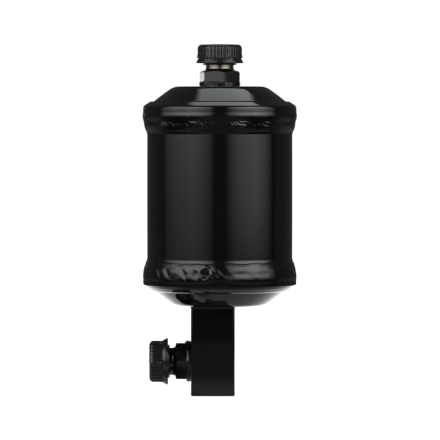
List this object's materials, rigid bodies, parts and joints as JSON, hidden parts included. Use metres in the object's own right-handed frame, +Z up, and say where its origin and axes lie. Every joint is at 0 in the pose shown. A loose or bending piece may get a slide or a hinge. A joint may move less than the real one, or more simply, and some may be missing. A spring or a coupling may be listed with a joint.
{
  "type": "filter drier",
  "caption": "Black painted steel filter drier canister with drawn heads, a capped hex port on top and a square block below that carries a capped side port.",
  "frame": {"origin": "on the canister's axis, level with the underside of the connection block", "axes": "+Z up along the canister's axis towards the inlet port, -X towards the outlet port, -Y towards the viewer of the picture"},
  "size_m": [0.0948, 0.0948, 0.2147],
  "materials": {
    "black_paint": "high gloss enamel",
    "black_plastic": "semi-gloss moulded",
    "seal_rubber": "matt",
    "plate_steel": "plated sheet",
    "spring_steel": "drawn wire",
    "filter_felt": "needled felt",
    "moulded_desiccant": "porous moulded grain"
  },
  "bodies": {
    "canister": {"shell_tube": "black_paint", "upper_head": "black_paint", "lower_head": "black_paint", "upper_weld": "black_paint", "lower_weld": "black_paint", "inlet_fitting": "black_paint", "inlet_fitting_weld": "black_paint", "inlet_oring": "seal_rubber", "outlet_block": "black_paint", "outlet_block_weld": "black_paint", "outlet_fitting": "black_paint", "outlet_fitting_weld": "black_paint", "outlet_oring": "seal_rubber", "compression_spring": "spring_steel", "upper_plate": "plate_steel", "upper_pad": "filter_felt", "desiccant_core": "moulded_desiccant", "lower_pad": "filter_felt", "lower_plate": "plate_steel", "outlet_screen": "plate_steel"},
    "inlet_cap_seal": {"inlet_cap_seal": "seal_rubber"},
    "inlet_cap": {"inlet_cap": "black_plastic"},
    "outlet_cap_seal": {"outlet_cap_seal": "seal_rubber"},
    "outlet_cap": {"outlet_cap": "black_plastic"}
  },
  "joints": [
    {"name": "inlet_cap_travel", "type": "slide", "parent": "canister", "child": "inlet_cap_seal", "axis": [0, 0, 1], "range_m": [0, 0.008]},
    {"name": "inlet_cap_spin", "type": "hinge", "parent": "inlet_cap_seal", "child": "inlet_cap", "pos_m": [0, 0, 0.20188], "axis": [0, 0, 1], "range_deg": [0, 1800]},
    {"name": "outlet_cap_travel", "type": "slide", "parent": "canister", "child": "outlet_cap_seal", "axis": [-1, 0, 0], "range_m": [0, 0.008]},
    {"name": "outlet_cap_spin", "type": "hinge", "parent": "outlet_cap_seal", "child": "outlet_cap", "pos_m": [-0.03058, 0, 0.0206], "axis": [-1, 0, 0], "range_deg": [0, 1800]}
  ],
  "couplings": [
    {"joint": "inlet_cap_travel", "follows": "inlet_cap_spin", "m_per_rad": 0.00025266},
    {"joint": "outlet_cap_travel", "follows": "outlet_cap_spin", "m_per_rad": 0.00025266}
  ]
}
